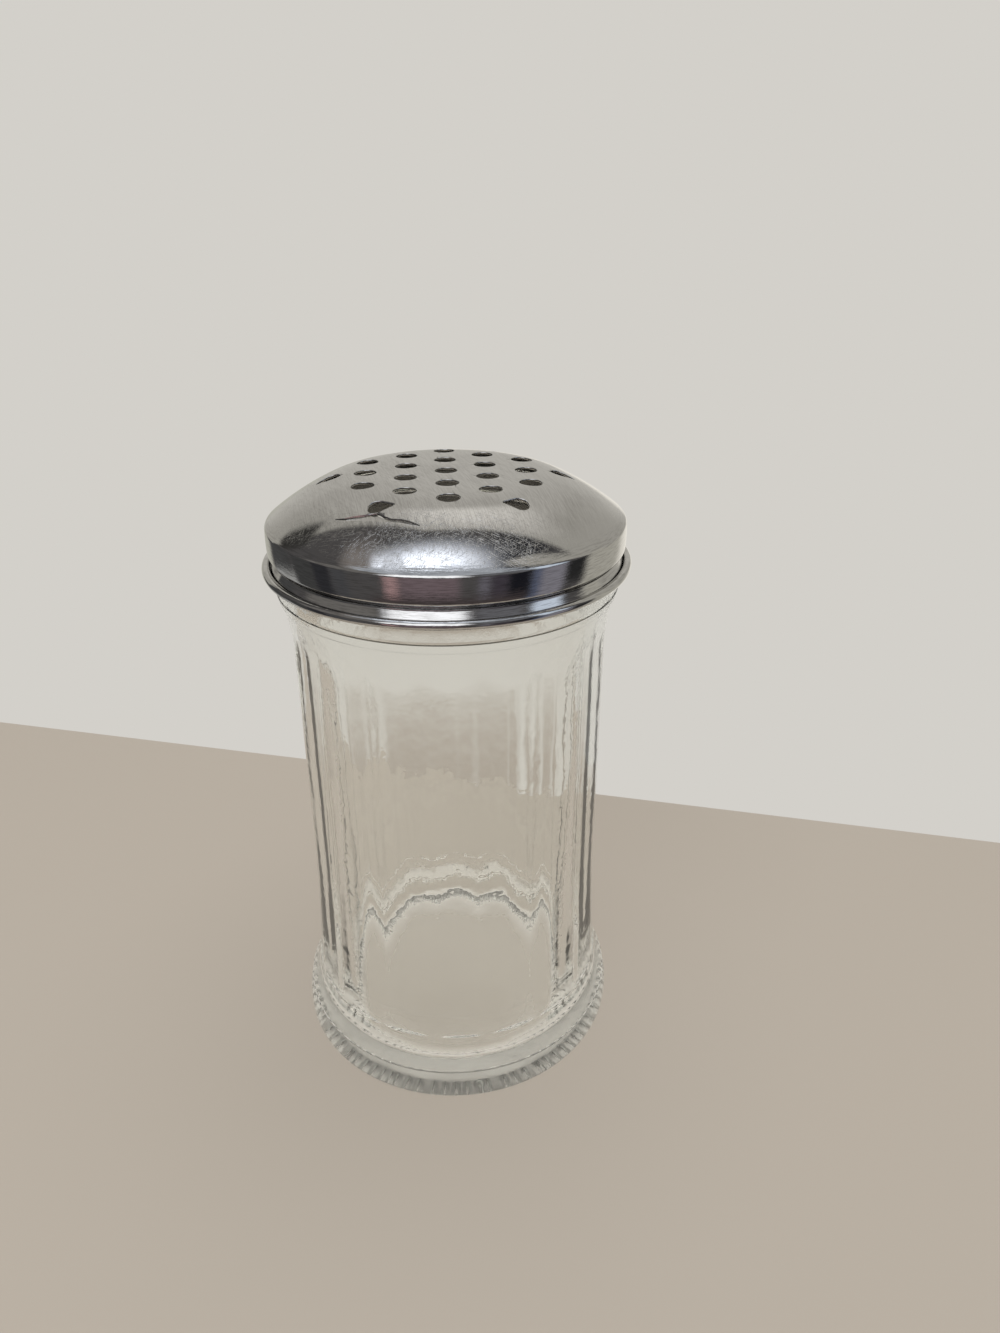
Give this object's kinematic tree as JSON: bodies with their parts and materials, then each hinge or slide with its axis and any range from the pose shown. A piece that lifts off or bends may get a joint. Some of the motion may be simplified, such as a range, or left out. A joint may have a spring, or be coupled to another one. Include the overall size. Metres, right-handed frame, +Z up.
{
  "type": "parmesan shaker",
  "caption": "Clear pressed glass jar with flat upright panels and a flared base ring, closed by a domed, perforated stainless steel cap that screws over its neck.",
  "frame": {"origin": "centre of the base, on the plane of the face that the jar stands on", "axes": "+Z up along the jar's axis, -Y towards the picture's camera and square to the panel that faces it, +X to the picture's right"},
  "size_m": [0.08, 0.08, 0.1426],
  "materials": {
    "clear_glass": "clear pressed soda-lime glass with a faint grey-green tint, fire-polished and gently uneven",
    "stainless_sheet": "polished stainless sheet that use has worn to a satin with fine scratches"
  },
  "bodies": {
    "jar": {"glass_jar": "clear_glass"},
    "cap": {"shaker_cap": "stainless_sheet"}
  },
  "joints": [
    {"name": "cap_lift", "type": "slide", "parent": "jar", "child": "cap", "axis": [0, 0, 1], "range_m": [0, 0.04]}
  ]
}
